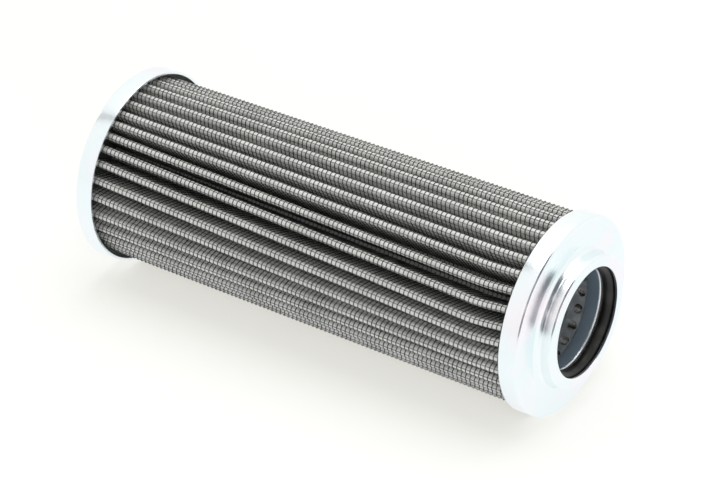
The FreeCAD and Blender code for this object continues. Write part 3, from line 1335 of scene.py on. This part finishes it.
@dataclass(frozen=True)
class Lamp:
    """A square soft lamp that faces the part."""

    name: str
    place: Place
    size: float
    watts: float

    def build(self, target: Vector) -> None:
        """Hangs the lamp.

        Args:
            target: The point that it faces.
        """
        data = bpy.data.lights.new(self.name, "AREA")
        data.shape, data.size = "SQUARE", self.size
        data.energy = self.watts
        lamp = bpy.data.objects.new(self.name, data)
        lamp.location = Vector(self.place)
        lamp.rotation_euler = (target - lamp.location).to_track_quat("-Z", "Y").to_euler()
        bpy.context.scene.collection.objects.link(lamp)


@dataclass(frozen=True)
class Card:
    """A dark card that only reflections show.

    It stands as far from the target as the camera, turned from it about the axis, with side 1 on the
    camera's side of the target along the axis and -1 on the other.
    """

    turn_deg: float
    side: float
    width: float


@dataclass(frozen=True)
class Studio:
    """The pale floor that the part lies on, the soft lamps, the cards, the white surround and the camera."""

    floor_level: float = 34.0 * MM
    floor_half: float = 4.0
    floor_color: Color = (0.93, 0.965, 1.0)
    floor_glow: float = 0.60
    floor_glow_color: Color = (1.0, 0.98, 0.90)
    floor_shine: float = 0.85
    surround: float = 0.56
    card_height: float = 1.1
    card_color: Color = (0.050, 0.062, 0.085)
    cards: tuple[Card, ...] = (
        Card(-40.0, 1.0, 0.72),
        Card(25.0, 1.0, 0.54),
        Card(-36.0, -1.0, 0.07),
        Card(-5.0, 1.0, 0.46),
    )
    target: Place = (0.0, 0.0, 88.0 * MM)
    camera_place: Place = (0.73260, -0.55346, 0.58775)
    camera_forward: Place = (-0.702605, 0.530160, -0.474631)
    camera_down: Place = (0.439312, 0.847900, 0.296781)
    camera_clip: Span = (0.05, 20.0)
    lens: float = 157.70
    sensor: float = 36.0
    lamps: tuple[Lamp, ...] = (
        Lamp("key_lamp", (-0.18, -1.18, 0.16), 1.1, 10.0),
        Lamp("front_lamp", (0.95, -0.55, 0.90), 0.8, 6.5),
        Lamp("under_lamp", (0.20, 1.10, 0.30), 0.9, 2.5),
    )

    def build_floor(self) -> None:
        """Lays the floor, clear from below and to shadow rays, so that no view or lamp is blocked."""
        half = self.floor_half
        sides = (Vector((half, 0.0, 0.0)), Vector((0.0, 0.0, half)))
        mesh = quad_mesh("floor", Vector((0.0, self.floor_level, 0.0)), *sides)
        floor = add_piece("floor", mesh)
        made, graph = bare_material("floor_finish")
        path = graph.node("ShaderNodeLightPath", output="Is Camera Ray")
        glossy = path.part("Is Glossy Ray")
        seen = (path * self.floor_glow).math("MAXIMUM", glossy * self.floor_shine)
        glow_color = graph.mix(glossy, self.floor_glow_color, WHITE)
        lit = graph.node("ShaderNodeBsdfDiffuse", None, {"Color": (*self.floor_color, 1.0)})
        glow = graph.node("ShaderNodeEmission", None, {"Color": glow_color, "Strength": 1.0})
        pale = graph.node("ShaderNodeMixShader", None, {0: seen, 1: lit, 2: glow})
        below = graph.node("ShaderNodeNewGeometry", output="Backfacing")
        clear = below.math("MAXIMUM", path.part("Is Shadow Ray"))
        see_through = graph.node("ShaderNodeBsdfTransparent")
        graph.set_surface(graph.node("ShaderNodeMixShader", None, {0: clear, 1: pale, 2: see_through}))
        mesh.materials.append(made)

    def build_cards(self) -> None:
        """Hangs the dark cards, which stand for the dark parts of a room."""
        target = Vector(self.target)
        ray = Vector(self.camera_place) - target
        made = self.card_finish()
        for index, card in enumerate(self.cards, start=1):
            turn = Matrix.Rotation(math.radians(card.turn_deg), 3, "Z")
            back = turn @ Vector((ray.x, ray.y, card.side * ray.z))
            across = Vector((0.0, 0.0, 1.0)).cross(back).normalized()
            along = back.cross(across).normalized()
            half = (across * (card.width / 2), along * (self.card_height / 2))
            mesh = quad_mesh(f"dark_card_{index}", target + back, *half)
            mesh.materials.append(made)
            add_piece(f"dark_card_{index}", mesh)

    def card_finish(self) -> bpy.types.Material:
        """Makes the cards' finish, dark to reflections and clear to every other ray.

        Returns:
            The material.
        """
        made, graph = bare_material("card_finish")
        seen = graph.node("ShaderNodeLightPath", output="Is Glossy Ray")
        clear = graph.node("ShaderNodeBsdfTransparent")
        dark = graph.node("ShaderNodeEmission", None, {"Color": (*self.card_color, 1.0), "Strength": 1.0})
        graph.set_surface(graph.node("ShaderNodeMixShader", None, {0: seen, 1: clear, 2: dark}))
        return made

    def build_surround(self) -> None:
        """Makes the world white to the camera and to reflections, and a soft light to the rest."""
        world = bpy.data.worlds.new("surround")
        world.use_nodes = True
        bpy.context.scene.world = world
        graph = Graph(world.node_tree)
        path = graph.node("ShaderNodeLightPath", output="Is Camera Ray")
        seen = path.math("MAXIMUM", path.part("Is Glossy Ray"))
        seen = seen.math("MAXIMUM", path.part("Is Transmission Ray"))
        strength = seen * (1.0 - self.surround) + self.surround
        graph.feed(world.node_tree.nodes["Background"].inputs["Color"], (*WHITE, 1.0))
        graph.feed(world.node_tree.nodes["Background"].inputs["Strength"], strength)

    def build_camera(self) -> None:
        """Sets the camera at the photograph's place, rolled so that the floor is down."""
        data = bpy.data.cameras.new("photo_camera")
        data.sensor_width, data.lens = self.sensor, self.lens
        data.clip_start, data.clip_end = self.camera_clip
        camera = bpy.data.objects.new("photo_camera", data)
        back, up = -Vector(self.camera_forward).normalized(), -Vector(self.camera_down).normalized()
        right = up.cross(back)
        turn = Matrix((right, up, back)).transposed()
        camera.matrix_world = Matrix.Translation(self.camera_place) @ turn.to_4x4()
        bpy.context.scene.collection.objects.link(camera)
        bpy.context.scene.camera = camera

    def build(self) -> None:
        """Builds the stage."""
        bpy.context.scene.view_settings.view_transform = "Standard"
        self.build_floor()
        self.build_cards()
        self.build_surround()
        for lamp in self.lamps:
            lamp.build(Vector(self.target))
        self.build_camera()
        LOG.info("stage: floor, %d cards, surround, %d lamps and camera", len(self.cards), len(self.lamps))


def main() -> None:
    """Builds the stage and every sub-assembly."""
    logging.basicConfig(level=logging.INFO, format="%(name)s %(message)s")
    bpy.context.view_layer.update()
    for assembly in (Studio(), ClosedCap(), OpenCap(), Mouth(), SupportTube(), PleatedPack(), Adhesive()):
        assembly.build()


if __name__ == "__main__":
    main()
